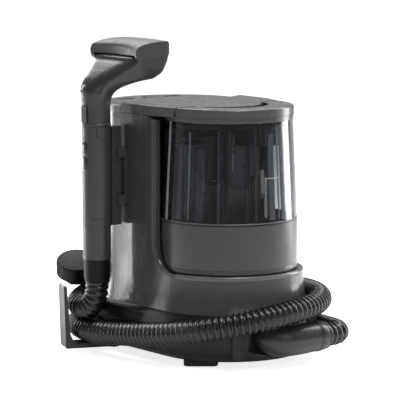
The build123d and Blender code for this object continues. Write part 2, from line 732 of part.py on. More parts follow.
with BuildPart() as grip_shell:
    with BuildSketch(W(161.6)):
        Circle(GRIP_R)
        Circle(16.62, mode=Mode.SUBTRACT)
    extrude(amount=124.0)
    # rail that sits in the dock
    with BuildSketch(W(162.0)):
        with Locations((24.3, 0)):
            Rectangle(14.2, 16.6)
        Circle(17.2, mode=Mode.SUBTRACT)
    extrude(amount=122.0)
    with BuildSketch(W(171.3)):
        with BuildLine():
            Polyline(wedge(C0 - 0.6, C1 + 0.6))
        make_face()
    extrude(amount=113.0, mode=Mode.SUBTRACT)
    for z in BUTTONS:
        with BuildSketch(W(z, n=(-1, 0, 0), u=(0, 1, 0), dx=-13.2)):
            SlotOverall(14.8, 9.8, rotation=90)
        extrude(amount=10, mode=Mode.SUBTRACT)
finish(grip_shell, "grip_shell")

with BuildPart() as grip_cover:
    with BuildSketch(W(171.6)):
        with BuildLine():
            Polyline(wedge(C0, C1))
        make_face()
        Circle(GRIP_R, mode=Mode.INTERSECT)
        Circle(16.62, mode=Mode.SUBTRACT)
    extrude(amount=112.4)
finish(grip_cover, "grip_cover")

for label, z in (("spray_button", BUTTONS[0]), ("lock_button", BUTTONS[1])):
    with BuildPart() as btn:
        with BuildSketch(W(z, n=(-1, 0, 0), u=(0, 1, 0), dx=-14.7)):
            SlotOverall(14.2, 9.2, rotation=90)
        extrude(amount=4.2)
        fillet(btn.faces().sort_by(Axis.X)[0].edges(), 0.9)
    finish(btn, label)

with BuildPart() as hose_cuff:
    # swivelling cuff on the end of the wand
    with BuildSketch(W(97.6)):
        Circle(16.3)
    extrude(amount=23.0)
    with BuildSketch(W(93.0)):
        Circle(15.4)
    extrude(amount=4.6)
    with BuildSketch(W(120.6)):
        Circle(12.43)
    extrude(amount=10)
    with BuildSketch(W(92)):
        Circle(10.5)
    extrude(amount=44, mode=Mode.SUBTRACT)
finish(hose_cuff, "hose_cuff")

# ================================================================ nozzle
BODY_XZ = [(-146.4, 305), (-146.9, 331.5), (-101.5, 368.2), (-100.5, 364.4), (-54.2, 372.3),
           (-55.5, 360), (-59, 351.7), (-64.3, 346.4), (-71.3, 342), (-88.9, 338.6),
           (-102, 333), (-109.3, 323), (-111.6, 311), (-111.6, 305), (-146.4, 305)]
FAN = [(-17.5, 300), (-17.5, 328), (-18.5, 335), (-22, 342), (-29, 350), (-38, 360), (-44.5, 370), (-48.5, 381), (-48.5, 400),
       (48.5, 400), (48.5, 381), (44.5, 370), (38, 360), (29, 350), (22, 342), (18.5, 335), (17.5, 328), (17.5, 300), (-17.5, 300)]
INNER_FAN = [(max(-1, min(1, y / 10.0)) * (abs(y) - 3.0), z) for y, z in FAN]


def prism_xz(pts, y0=-60.0, y1=60.0):
    with BuildPart(mode=Mode.PRIVATE) as pr:
        with BuildSketch(P(0, WAND_Y + y1, 0, **XZ)):
            with BuildLine():
                Polyline(pts)
            make_face()
        extrude(amount=y1 - y0)
    return pr.part


def fan_prism(pts):
    with BuildPart(mode=Mode.PRIVATE) as pr:
        with BuildSketch(P(-160, WAND_Y, 0, **YZ)):
            with BuildLine():
                Polyline(pts)
            make_face()
        extrude(amount=120)
    return pr.part


fan_outer = fan_prism(FAN)
fan_inner = fan_prism(INNER_FAN)
HOLLOW_XZ = [(-138, 308), (-142.5, 326), (-146.5, 334), (-104, 372), (-103.5, 360), (-106, 350), (-116, 336), (-120, 322), (-120, 308), (-138, 308)]

with BuildPart() as nozzle_body:
    add(prism_xz(BODY_XZ))
    add(fan_outer, mode=Mode.INTERSECT)
    with BuildSketch(W(286.2)):
        Circle(17.5)
    extrude(amount=34)
    with BuildSketch(W(272.0)):
        Circle(12.42)
    extrude(amount=15)
    add(prism_xz(HOLLOW_XZ).intersect(fan_inner), mode=Mode.SUBTRACT)
    with BuildSketch(W(271.0)):
        Circle(9.5)
    extrude(amount=45, mode=Mode.SUBTRACT)
    # recess of the release latch
    with BuildSketch(W(300.5, n=(-1, 0, 0), u=(0, 1, 0), dx=-14.6)):
        Rectangle(13, 24)
    extrude(amount=10, mode=Mode.SUBTRACT)
    # socket of the spray jet
    with BuildSketch(P(-64, WAND_Y, 357, n=(1, 0, 0), u=(0, 1, 0))):
        Circle(3.6)
    extrude(amount=20, mode=Mode.SUBTRACT)
finish(nozzle_body, "nozzle_body")

with BuildPart() as spray_jet:
    with BuildSketch(P(-64, WAND_Y, 357, n=(1, 0, 0), u=(0, 1, 0))):
        Circle(3.6)
    extrude(amount=9)
    with BuildSketch(P(-64, WAND_Y, 357, n=(1, 0, 0), u=(0, 1, 0))):
        Circle(0.8)
    extrude(amount=9, mode=Mode.SUBTRACT)
finish(spray_jet, "spray_jet")

SL = (45.4, 36.7)            # slope of the clear cover
sl_len = math.hypot(*SL)
sn = (-SL[1] / sl_len, SL[0] / sl_len)


def layer(t0, t1):
    a, b = (-146.9, 331.5), (-101.5, 368.2)
    return [(a[0] + sn[0] * t0, a[1] + sn[1] * t0), (b[0] + sn[0] * t0, b[1] + sn[1] * t0),
            (b[0] + sn[0] * t1, b[1] + sn[1] * t1), (a[0] + sn[0] * t1, a[1] + sn[1] * t1),
            (a[0] + sn[0] * t0, a[1] + sn[1] * t0)]


with BuildPart() as nozzle_gasket:
    add(prism_xz(layer(0.0, 1.2)))
    add(fan_outer, mode=Mode.INTERSECT)
    add(fan_inner, mode=Mode.SUBTRACT)
finish(nozzle_gasket, "nozzle_gasket")

with BuildPart() as nozzle_window:
    add(prism_xz(layer(1.2, 4.0)))
    add(fan_outer, mode=Mode.INTERSECT)
finish(nozzle_window, "nozzle_window")

with BuildPart() as nozzle_mouth:
    add(prism_xz([(-101.0, 368.3), (-103.9, 373.5), (-98.5, 378.5), (-95.0, 383.2), (-55.5, 390.4),
                  (-53.6, 385), (-53.7, 372.5), (-100.0, 364.6), (-101.0, 368.3)], -48.5, 48.5))
    with BuildSketch(P(0, WAND_Y + 44, 0, **XZ)):
        with BuildLine():
            Polyline([(-106, 365.6), (-106, 371.6), (-98, 372.6), (-52, 384.2), (-52, 375.6), (-106, 365.6)])
        make_face()
    extrude(amount=88, mode=Mode.SUBTRACT)
finish(nozzle_mouth, "nozzle_mouth")

with BuildPart() as nozzle_latch:
    with BuildSketch(W(300.5, n=(-1, 0, 0), u=(0, 1, 0), dx=-15.6)):
        RectangleRounded(12, 22, 2)
    extrude(amount=2.8)
    fillet(nozzle_latch.faces().sort_by(Axis.X)[0].edges(), 0.8)
finish(nozzle_latch, "nozzle_latch")

# ================================================================ hose
HOSE = [(COLLAR_X + 18, ELBOW_Y, ELBOW_Z), (81, ELBOW_Y, 34), (95, -159, 34), (105, -145, 33.4), (112, -124, 32.4),
        (117.5, -94, 31), (120.5, -54, 29.5), (121, -10, 28.5), (121.5, 38, 28), (117, 82, 27.5), (97, 125, 27),
        (58, 156, 27), (9, 171, 27), (-42, 167, 27), (-90, 140, 26.8), (-118, 98, 26.6), (-127, 54, 27),
        (-123, 6, 30.5), (-118.5, -40, 36), (-114, -85, 43), (-99, -133, 52.5), (-60, -168, 61.5), (-9, -178, 68.5),
        (36, -172, 72), (74, -149, 74), (99, -114, 74.5), (113, -72, 73.8), (117, -27, 71.5), (119.5, 23, 67), (116, 69, 63),
        (99, 114, 60), (65, 149, 59), (20, 168, 58.5), (-29, 166, 58), (-75, 143, 57.5), (-105, 115, 57),
        (-119.5, 97, 56.5), (-127, 79, 56), (-129, 61.4, 56.0), (-129, 47.3, 64.8), (WAND_X, WAND_Y, 79.7),
        (WAND_X, WAND_Y, 93)]
radii = []
for i in range(1, len(HOSE) - 1):
    a, b, c = (Vector(*HOSE[j]) for j in (i - 1, i, i + 1))
    turn = (b - a).get_angle(c - b)
    run = min((b - a).length, (c - b).length)
    radii.append(0.45 * run / math.tan(math.radians(turn / 2)))
    print("%2d run %5.1f turn %5.1f radius %6.1f" % (i, run, turn, radii[-1]))

hose_wire = FilletPolyline([V(*p) for p in HOSE], radius=radii)
with BuildPart() as hose:
    with BuildSketch(P(*HOSE[0], n=(1, 0, 0), u=(0, 1, 0))):
        Circle(HOSE_R)
    sweep(path=hose_wire)
    with BuildSketch(P(*HOSE[0], n=(1, 0, 0), u=(0, 1, 0))):
        Circle(HOSE_R - 2.2)
    sweep(path=hose_wire, mode=Mode.SUBTRACT)
finish(hose, "hose")
hose_len = hose_wire.length
print("hose length %.1f  volume %.0f  section x length %.0f" % (
    hose_len, hose.part.volume, math.pi * (HOSE_R ** 2 - (HOSE_R - 2.2) ** 2) * hose_len))
print(len(done), "pieces")
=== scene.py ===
import math
import bmesh
import bpy
from mathutils import Matrix, Vector, noise


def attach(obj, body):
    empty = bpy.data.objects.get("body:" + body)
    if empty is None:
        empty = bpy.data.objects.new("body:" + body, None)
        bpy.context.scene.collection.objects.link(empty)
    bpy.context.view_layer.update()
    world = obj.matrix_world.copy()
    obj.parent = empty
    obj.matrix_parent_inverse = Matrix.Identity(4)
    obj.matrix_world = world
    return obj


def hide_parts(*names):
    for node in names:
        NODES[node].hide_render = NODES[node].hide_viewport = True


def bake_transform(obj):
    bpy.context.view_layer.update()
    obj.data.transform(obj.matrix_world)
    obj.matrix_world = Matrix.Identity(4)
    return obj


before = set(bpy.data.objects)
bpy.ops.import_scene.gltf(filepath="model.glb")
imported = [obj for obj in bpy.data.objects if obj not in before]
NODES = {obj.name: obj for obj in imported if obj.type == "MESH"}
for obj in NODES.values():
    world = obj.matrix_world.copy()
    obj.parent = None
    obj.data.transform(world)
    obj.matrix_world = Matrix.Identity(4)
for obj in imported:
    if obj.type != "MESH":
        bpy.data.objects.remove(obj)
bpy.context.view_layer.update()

SX, SY = 27.83, 12.23


def m(x, y, z):
    """A point of the machine, given in millimetres from its own centre lines, in metres of the frame."""
    return Vector(((x + SX) / 1000, (y + SY) / 1000, z / 1000))


def mm(v):
    return v / 1000.0


scene = bpy.context.scene
coll = scene.collection
scene.view_settings.view_transform = "Standard"
scene.view_settings.look = "None"

# ------------------------------------------------------------------ camera
RIGHT = Vector((0.79864, -0.60182, 0.0))
UP = Vector((0.08376, 0.11115, 0.99027))
BACK = RIGHT.cross(UP).normalized()
cam_data = bpy.data.cameras.new("camera")
cam_data.lens = 230.4
cam_data.sensor_width = 36
cam_data.clip_end = 50
cam_data.shift_y = 0.055
cam = bpy.data.objects.new("camera", cam_data)
coll.objects.link(cam)
aim = m(0, 0, 160)
rot = Matrix((RIGHT, UP, BACK)).transposed().to_4x4()
cam.matrix_world = Matrix.Translation(aim + BACK * 3.2) @ rot
scene.camera = cam


# ------------------------------------------------------------------ mesh helpers
def new_obj(name, verts, faces, smooth=True):
    me = bpy.data.meshes.new(name)
    me.from_pydata([tuple(v) for v in verts], [], faces)
    me.validate()
    me.update()
    for p in me.polygons:
        p.use_smooth = smooth
    ob = bpy.data.objects.new(name, me)
    coll.objects.link(ob)
    return ob


def smooth_group():
    """Rounds the shading of a mesh everywhere but at its real edges."""
    g = bpy.data.node_groups.new("soft_shading", "GeometryNodeTree")
    g.interface.new_socket("Geometry", in_out="INPUT", socket_type="NodeSocketGeometry")
    g.interface.new_socket("Geometry", in_out="OUTPUT", socket_type="NodeSocketGeometry")
    n = g.nodes
    gi, go = n.new("NodeGroupInput"), n.new("NodeGroupOutput")
    merge = n.new("GeometryNodeMergeByDistance")
    merge.inputs["Distance"].default_value = 2e-5
    ang = n.new("GeometryNodeInputMeshEdgeAngle")
    cmp = n.new("FunctionNodeCompare")
    cmp.data_type = "FLOAT"
    cmp.operation = "LESS_EQUAL"
    cmp.inputs[1].default_value = math.radians(32)
    face = n.new("GeometryNodeSetShadeSmooth")
    edge = n.new("GeometryNodeSetShadeSmooth")
    edge.domain = "EDGE"
    l = g.links
    l.new(gi.outputs[0], merge.inputs["Geometry"])
    l.new(merge.outputs[0], face.inputs["Geometry"])
    l.new(face.outputs[0], edge.inputs["Geometry"])
    l.new(ang.outputs["Unsigned Angle"], cmp.inputs[0])
    l.new(cmp.outputs[0], edge.inputs["Shade Smooth"])
    l.new(edge.outputs[0], go.inputs[0])
    return g


SOFT = smooth_group()


def soften(ob, bevel=0.0):
    if bevel:
        w = ob.modifiers.new("weld", "WELD")
        w.merge_threshold = 2e-5
        b = ob.modifiers.new("edge_round", "BEVEL")
        b.limit_method = "ANGLE"
        b.angle_limit = math.radians(40)
        b.width = bevel
        b.segments = 2
        b.use_clamp_overlap = True
    g = ob.modifiers.new("soft_shading", "NODES")
    g.node_group = SOFT


# ------------------------------------------------------------------ hose (cord)
HOSE = [(65, -166.5, 34), (78, -166.5, 34), (91, -160.5, 34), (100, -147, 33.4), (106.5, -126, 32.4),
        (114, -94, 31), (119.5, -54, 29.5), (121, -10, 28.5), (121.5, 38, 28), (117, 82, 27.5), (97, 125, 27),
        (58, 156, 27), (9, 171, 27), (-42, 167, 27), (-90, 140, 26.8), (-118, 98, 26.6), (-127, 54, 27),
        (-123, 6, 30.5), (-118.5, -40, 36), (-114, -85, 43), (-99, -133, 52.5), (-60, -168, 61.5), (-9, -178, 68.5),
        (36, -172, 72), (74, -149, 74), (99, -114, 74.5), (113, -72, 73.8), (117, -27, 71.5), (119.5, 23, 67),
        (116, 69, 63), (99, 114, 60), (65, 149, 59), (20, 168, 58.5), (-29, 166, 58), (-75, 143, 57.5),
        (-105, 115, 57), (-119.5, 97, 56.5), (-127, 79, 56), (-129, 61.4, 56.0), (-129, 47.3, 64.8),
        (-129, 40, 79.7), (-129, 40, 93)]


def nurbs_line(points):
    cu = bpy.data.curves.new("hose_route", "CURVE")
    cu.dimensions = "3D"
    cu.resolution_u = 20
    sp = cu.splines.new("NURBS")
    sp.points.add(len(points) - 1)
    for p, co in zip(sp.points, points):
        p.co = (*m(*co), 1.0)
    sp.order_u = 3
    sp.use_endpoint_u = True
    ob = bpy.data.objects.new("hose_route", cu)
    coll.objects.link(ob)
    bpy.context.view_layer.update()
    me = bpy.data.meshes.new_from_object(ob)
    line = [v.co.copy() for v in me.vertices]
    bpy.data.objects.remove(ob)
    bpy.data.meshes.remove(me)
    return line


def resample(line, step):
    out, acc = [line[0].copy()], 0.0
    for a, b in zip(line, line[1:]):
        d = (b - a).length
        while acc + d >= step:
            t = (step - acc) / d
            a = a.lerp(b, t)
            out.append(a.copy())
            d = (b - a).length
            acc = 0.0
        acc += d
    if (line[-1] - out[-1]).length > step * 0.3:
        out.append(line[-1].copy())
    else:
        out[-1] = line[-1].copy()
    return out


def ribbed_tube(name, line, pitch, per, radius, valley, seg=28, wall=0.0022):
    pts = resample(line, pitch / per)
    n = len(pts)
    tan = [(pts[min(i + 1, n - 1)] - pts[max(i - 1, 0)]).normalized() for i in range(n)]
    ref = Vector((0, 0, 1))
    side = tan[0].cross(ref).normalized()
    verts, faces = [], []
    prof = {0: 1.0, 1: 0.96, 2: 0.62, 3: 0.12, 4: 0.0, 5: 0.12, 6: 0.62, 7: 0.96}
    rings = []
    for i, p in enumerate(pts):
        t = tan[i]
        side = (side - t * side.dot(t)).normalized()
        up = t.cross(side)
        k = i % per
        if i < 4 or i > n - 5:
            r = radius - 0.0004
        else:
            r = valley + (radius - valley) * prof[k]
        rings.append((p, side.copy(), up.copy(), r))
    for p, s, u, r in rings:
        for j in range(seg):
            a = 2 * math.pi * j / seg
            verts.append(p + (s * math.cos(a) + u * math.sin(a)) * r)
    for i in range(n - 1):
        for j in range(seg):
            a, b = i * seg + j, i * seg + (j + 1) % seg
            faces.append((a, b, b + seg, a + seg))
    # the bore, so that the ends are open rings against the collar and the cuff
    base = len(verts)
    for (p, s, u, r), off in ((rings[0], 0), (rings[-1], 0)):
        for j in range(seg):
            a = 2 * math.pi * j / seg
            verts.append(p + (s * math.cos(a) + u * math.sin(a)) * (radius - wall - 0.001))
    first, last = base, base + seg
    for j in range(seg):
        k = (j + 1) % seg
        faces.append((first + j, first + k, k, j))
        e = (n - 1) * seg
        faces.append((e + j, e + k, last + k, last + j))
    # the inside wall
    inner = len(verts)
    step = per
    idx = list(range(step, n - 1, step))
    for i in idx:
        p, s, u, r = rings[i]
        for j in range(seg):
            a = 2 * math.pi * j / seg
            verts.append(p + (s * math.cos(a) + u * math.sin(a)) * (radius - wall - 0.001))
    order = [first] + [inner + q * seg for q in range(len(idx))] + [last]
    for a0, b0 in zip(order, order[1:]):
        for j in range(seg):
            k = (j + 1) % seg
            faces.append((a0 + k, a0 + j, b0 + j, b0 + k))
    return new_obj(name, verts, faces)


hose_line = nurbs_line(HOSE)
hose = ribbed_tube("ribbed_hose", hose_line, 0.0074, 8, 0.0145, 0.0115)
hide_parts("hose")
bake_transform(hose)


# ------------------------------------------------------------------ materials
class Mat:
    def __init__(self, name):
        self.m = bpy.data.materials.new(name)
        self.m.use_nodes = True
        self.t = self.m.node_tree
        self.b = self.t.nodes["Principled BSDF"]
        self.co = self.t.nodes.new("ShaderNodeTexCoord").outputs["Object"]

    def node(self, kind, **kw):
        n = self.t.nodes.new(kind)
        for k, v in kw.items():
            if k in n.inputs:
                n.inputs[k].default_value = v
            else:
                setattr(n, k, v)
        return n

    def link(self, a, b):
        self.t.links.new(a, b)

    def noise(self, scale, detail=3.0, rough=0.6, stretch=None):
        n = self.node("ShaderNodeTexNoise")
        n.inputs["Scale"].default_value = scale
        n.inputs["Detail"].default_value = detail
        n.inputs["Roughness"].default_value = rough
        src = self.co
        if stretch:
            mp = self.node("ShaderNodeMapping")
            mp.inputs["Scale"].default_value = stretch
            self.link(src, mp.inputs["Vector"])
            src = mp.outputs["Vector"]
        self.link(src, n.inputs["Vector"])
        return n.outputs["Fac"]

    def remap(self, fac, lo, hi, a=0.35, b=0.65):
        r = self.node("ShaderNodeMapRange")
        r.inputs["From Min"].default_value = a
        r.inputs["From Max"].default_value = b
        r.inputs["To Min"].default_value = lo
        r.inputs["To Max"].default_value = hi
        self.link(fac, r.inputs["Value"])
        return r.outputs["Result"]

    def ramp(self, fac, c0, c1, p0=0.3, p1=0.7):
        r = self.node("ShaderNodeValToRGB")
        r.color_ramp.elements[0].position = p0
        r.color_ramp.elements[1].position = p1
        r.color_ramp.elements[0].color = (*c0, 1)
        r.color_ramp.elements[1].color = (*c1, 1)
        self.link(fac, r.inputs["Fac"])
        return r.outputs["Color"]

    def bump(self, height, strength, distance, after=None):
        b = self.node("ShaderNodeBump")
        b.inputs["Strength"].default_value = strength
        b.inputs["Distance"].default_value = distance
        self.link(height, b.inputs["Height"])
        if after is not None:
            self.link(after, b.inputs["Normal"])
        return b.outputs["Normal"]


def moulded(name, col, rough, grain=1400.0, grain_strength=0.35, spread=0.12, spec=0.5, coat=0.0, scuff=0.05):
    """Injection-moulded plastic: fine spark-eroded grain, slow tone drift, faint scuffs."""
    k = Mat(name)
    lo = [max(0.0, c * (1 - spread)) for c in col]
    hi = [min(1.0, c * (1 + spread)) for c in col]
    slow = k.noise(9.0, 4.0, 0.55)
    k.link(k.ramp(slow, lo, hi), k.b.inputs["Base Color"])
    fine = k.noise(grain, 2.0, 0.5)
    mid = k.noise(60.0, 5.0, 0.7, stretch=(1.0, 1.0, 0.35))
    add = k.node("ShaderNodeMath", operation="ADD")
    k.link(k.remap(fine, -scuff, scuff), add.inputs[0])
    k.link(k.remap(mid, rough - scuff, rough + scuff), add.inputs[1])
    k.link(add.outputs[0], k.b.inputs["Roughness"])
    n1 = k.bump(fine, grain_strength, 0.00005)
    n2 = k.bump(mid, 0.08, 0.00015, n1)
    k.link(n2, k.b.inputs["Normal"])
    k.b.inputs["Specular IOR Level"].default_value = spec
    if coat:
        k.b.inputs["Coat Weight"].default_value = coat
        k.b.inputs["Coat Roughness"].default_value = 0.08
    return k.m


def glossy(name, col, rough, spread=0.1, peel_strength=0.10):
    k = Mat(name)
    slow = k.noise(14.0, 3.0, 0.5)
    k.link(k.ramp(slow, [c * (1 - spread) for c in col], [c * (1 + spread) for c in col]), k.b.inputs["Base Color"])
    dust = k.noise(240.0, 6.0, 0.75)
    k.link(k.remap(dust, rough * 0.75, rough * 1.6), k.b.inputs["Roughness"])
    peel = k.noise(420.0, 2.0, 0.4)
    k.link(k.bump(peel, peel_strength, 0.00008), k.b.inputs["Normal"])
    return k.m


def clear(name, col, rough, ior):
    k = Mat(name)
    haze = k.noise(35.0, 5.0, 0.6)
    k.link(k.ramp(haze, [c * 0.94 for c in col], col), k.b.inputs["Base Color"])
    k.b.inputs["Roughness"].default_value = rough
    k.b.inputs["Transmission Weight"].default_value = 1.0
    k.b.inputs["IOR"].default_value = ior
    return k.m


def metal(name, col, rough, stretch=(1, 1, 0.02)):
    k = Mat(name)
    k.b.inputs["Metallic"].default_value = 1.0
    drawn = k.noise(900.0, 3.0, 0.6, stretch=stretch)
    k.link(k.ramp(drawn, [c * 0.85 for c in col], col), k.b.inputs["Base Color"])
    k.link(k.remap(drawn, rough * 0.8, rough * 1.3), k.b.inputs["Roughness"])
    k.link(k.bump(drawn, 0.15, 0.00005), k.b.inputs["Normal"])
    return k.m


M_BODY = moulded("body_graphite", (0.042, 0.0425, 0.0445), 0.21, spec=0.5)
M_RACK = moulded("rack_graphite", (0.020, 0.0205, 0.0215), 0.36, spec=0.4)
M_LID = moulded("lid_graphite", (0.056, 0.057, 0.059), 0.27)
M_DARK = moulded("base_black", (0.0034, 0.0034, 0.0038), 0.40, spec=0.32)
M_ELBOW = moulded("elbow_black", (0.020, 0.020, 0.022), 0.30, grain_strength=0.2)
M_SKIRT = moulded("tank_skirt_grey", (0.041, 0.042, 0.043), 0.30)
# the lip is a lighter grey than the body graphite: a painted highlight on the rolled lip of the tank bay, not a
# different finish
M_LIP_PAINTED_HIGHLIGHT = moulded("lip_painted_highlight", (0.10, 0.101, 0.104), 0.24)
M_CAP = moulded("cap_black", (0.0022, 0.0022, 0.0024), 0.48, spec=0.22)
M_COVER = glossy("cover_smoke", (0.020, 0.0205, 0.022), 0.17)
# pale flat grey standing in for reflections: painted streaks of light on the tank window
M_PAINTED_STREAK_PALE = moulded("painted_streak_pale", (0.34, 0.35, 0.365), 0.25, grain=60.0, grain_strength=0.02)
M_MOUTH = moulded("mouth_grey", (0.036, 0.037, 0.039), 0.42, spec=0.42)
# mid grey standing in for reflections: painted streaks of light on the tank window
M_PAINTED_STREAK_MID = moulded("painted_streak_mid", (0.20, 0.208, 0.22), 0.25, grain=60.0, grain_strength=0.02)
M_GRIP = moulded("grip_graphite", (0.034, 0.035, 0.036), 0.33)
M_RUBBER = moulded("rubber_black", (0.012, 0.012, 0.012), 0.62, grain=900.0, grain_strength=0.6)
M_HOSE = glossy("hose_black", (0.005, 0.005, 0.0055), 0.25, peel_strength=0.0)
M_BUTTON = glossy("button_black", (0.008, 0.008, 0.009), 0.10)
M_INNER = moulded("inner_plastic", (0.035, 0.037, 0.040), 0.34, grain=60.0, grain_strength=0.05)
# chamber plastic lightened well past the inner plastic: partly its own tone, partly a painted sheen for the streaks
# reflected in the window
M_CHAMBER_AND_SHEEN = moulded("chamber_plastic_and_sheen", (0.075, 0.081, 0.090), 0.24, grain=40.0, grain_strength=0.02)
M_CREAM = moulded("float_white", (0.40, 0.385, 0.35), 0.45)
M_FLOAT = moulded("float_grey", (0.085, 0.083, 0.079), 0.45)
M_SMOKE = clear("window_smoke", (0.62, 0.635, 0.66), 0.0, 1.34)
M_CLEAR = clear("window_clear", (0.78, 0.79, 0.80), 0.0, 1.36)
M_STEEL = metal("steel", (0.36, 0.36, 0.37), 0.34)
M_SCREW = metal("screw_black", (0.05, 0.05, 0.052), 0.42)
M_ALU = metal("tube_aluminium", (0.70, 0.70, 0.71), 0.30)
M_BOARD = moulded("board_green", (0.03, 0.14, 0.07), 0.4)
M_FILTER = moulded("filter_foam", (0.02, 0.02, 0.02), 0.9, grain=700.0, grain_strength=1.0)

LOOK = {
    "main_housing": (M_BODY, 0.0), "rear_cover": (M_BODY, 0.0), "rear_deck": (M_LID, 0.0), "tank_lid": (M_LID, 0.0),
    "carry_handle": (M_LID, 0.0), "tank_skirt": (M_SKIRT, 0.0), "wand_dock": (M_BODY, 0.0),
    "grip_shell": (M_GRIP, 0.0), "grip_cover": (M_GRIP, 0.0), "nozzle_body": (M_GRIP, 0.0),
    "hose_rack": (M_RACK, 0.0), "hook_bracket": (M_DARK, 0.0), "base_pan": (M_DARK, 0.0),
    "hose_elbow": (M_ELBOW, 0.0), "elbow_collar": (M_ELBOW, 0.0), "hose_cuff": (M_CAP, 0.0),
    "cord_hook_cap": (M_CAP, 0.0), "deck_grilles": (M_DARK, 0.0), "nozzle_latch": (M_DARK, 0.0),
    "nozzle_gasket": (M_RUBBER, 0.0), "rubber_feet": (M_RUBBER, 0.0014), "lid_seal": (M_RUBBER, 0.0),
    "tank_valve": (M_RUBBER, 0.0), "cord_gland": (M_RUBBER, 0.0), "power_button": (M_BUTTON, 0.0),
    "spray_button": (M_BUTTON, 0.0), "lock_button": (M_BUTTON, 0.0), "nozzle_mouth": (M_MOUTH, 0.0016),
    "tank_window": (M_SMOKE, 0.0), "nozzle_window": (M_CLEAR, 0.0), "wand_tube": (M_GRIP, 0.0),
    "tank_float": (M_FLOAT, 0.0), "motor_case": (M_STEEL, 0.0), "motor_stator": (M_STEEL, 0.0),
    "motor_rotor": (M_STEEL, 0.0), "motor_shaft": (M_STEEL, 0.0), "motor_bearings": (M_STEEL, 0.0),
    "housing_screws": (M_SCREW, 0.0), "handle_pins": (M_STEEL, 0.0), "control_board": (M_BOARD, 0.0),
    "vent_filter": (M_FILTER, 0.0), "hose": (M_HOSE, 0.0),
}
for name, ob in NODES.items():
    mat, bev = LOOK.get(name, (M_INNER, 0.0))
    ob.data.materials.clear()
    ob.data.materials.append(mat)
    if name != "hose":
        soften(ob, bev)
hose.data.materials.append(M_HOSE)


# ------------------------------------------------------------------ inside of the tank
def slab(name, x0, y0, z0, x1, y1, z1, mat, body, bev=0.4, segs=2):
    """A moulded block with rounded edges, corners given in machine millimetres."""
    bm = bmesh.new()
    bmesh.ops.create_cube(bm, size=1.0)
    a, b = m(x0, y0, z0), m(x1, y1, z1)
    for v in bm.verts:
        v.co = Vector([a[i] if v.co[i] < 0 else b[i] for i in range(3)])
    bmesh.ops.bevel(bm, geom=bm.edges[:], offset=mm(bev), segments=segs, profile=0.5, affect="EDGES", clamp_overlap=True)
    bmesh.ops.recalc_face_normals(bm, faces=bm.faces[:])
    me = bpy.data.meshes.new(name)
    bm.to_mesh(me)
    bm.free()
    for p in me.polygons:
        p.use_smooth = True
    ob = bpy.data.objects.new(name, me)
    coll.objects.link(ob)
    g = ob.modifiers.new("soft_shading", "NODES")
    g.node_group = SOFT
    me.materials.append(mat)
    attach(ob, body)
    return ob


def ring(name, cx, cy, z0, z1, r0, r1, mat, body, seg=72, rnd=0.6, a0=0.0, a1=360.0):
    """A turned band, its rim rounded, centre in machine millimetres."""
    prof = []
    for ang in range(0, 91, 30):
        t = math.radians(ang)
        prof.append((r1 - rnd + rnd * math.cos(t), z1 - rnd + rnd * math.sin(t)))
    for ang in range(90, 181, 30):
        t = math.radians(ang)
        prof.append((r0 + rnd + rnd * math.cos(t), z1 - rnd + rnd * math.sin(t)))
    for ang in range(180, 271, 30):
        t = math.radians(ang)
        prof.append((r0 + rnd + rnd * math.cos(t), z0 + rnd + rnd * math.sin(t)))
    for ang in range(270, 361, 30):
        t = math.radians(ang)
        prof.append((r1 - rnd + rnd * math.cos(t), z0 + rnd + rnd * math.sin(t)))
    full = abs(a1 - a0) >= 359.9
    n = seg if full else seg + 1
    k = len(prof)
    verts, faces = [], []
    for i in range(n):
        a = math.radians(a0 + (a1 - a0) * i / seg)
        for r, z in prof:
            verts.append(m(cx + r * math.cos(a), cy + r * math.sin(a), z))
    for i in range(seg):
        i2 = (i + 1) % n
        for j in range(k):
            j2 = (j + 1) % k
            faces.append((i * k + j, i2 * k + j, i2 * k + j2, i * k + j2))
    if not full:
        faces.append(tuple(range(k - 1, -1, -1)))
        faces.append(tuple((n - 1) * k + j for j in range(k)))
    ob = new_obj(name, verts, faces)
    g = ob.modifiers.new("soft_shading", "NODES")
    g.node_group = SOFT
    ob.data.materials.append(mat)
    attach(ob, body)
    return ob


# stiffening ribs and rails on the front of the chamber wall (the wall's face is at Y = -28.3)
for i, x in enumerate((-66, -52, -44, -31, -22, 6, 14)):
    slab("chamber_rib_%d" % (i + 1), x, -31.6 - (i % 3) * 1.6, 118, x + 1.6 + (i % 2), -28.4, 279, M_CHAMBER_AND_SHEEN, "tank")
slab("chamber_rail_top", -68, -36, 268, 20, -28.4, 272, M_CHAMBER_AND_SHEEN, "tank")
slab("chamber_rail_mid", -68, -33, 214, 8, -28.4, 216.4, M_CHAMBER_AND_SHEEN, "tank")
slab("chamber_rail_low", -70, -34, 176, 12, -28.4, 178.6, M_CHAMBER_AND_SHEEN, "tank")
# inner chamber of clean water, left of the standpipe
slab("chamber_panel", -62, -52, 119, -26, -49.5, 262, M_CHAMBER_AND_SHEEN, "tank", bev=0.8)
slab("chamber_side", -26, -52, 119, -23.5, -30, 262, M_CHAMBER_AND_SHEEN, "tank", bev=0.8)
slab("chamber_cap", -63, -53, 262.3, -22.5, -30, 265.3, M_CHAMBER_AND_SHEEN, "tank", bev=0.8)
# standpipe collars
for i, z in enumerate((150, 192, 226, 252)):
    ring("standpipe_collar_%d" % (i + 1), -4, -62, z, z + 3.2, 6.6, 8.6, M_CHAMBER_AND_SHEEN, "tank", seg=36)
# ribs of the separator and its skirt
for i, x in enumerate((9.5, 18, 27, 36, 45)):
    slab("separator_rib_%d" % (i + 1), x, -95.4, 264, x + 1.8, -94.2, 296, M_CHAMBER_AND_SHEEN, "tank")
slab("separator_lip", 6, -98.4, 262.0, 54, -95.6, 264.6, M_CHAMBER_AND_SHEEN, "tank", bev=0.8)
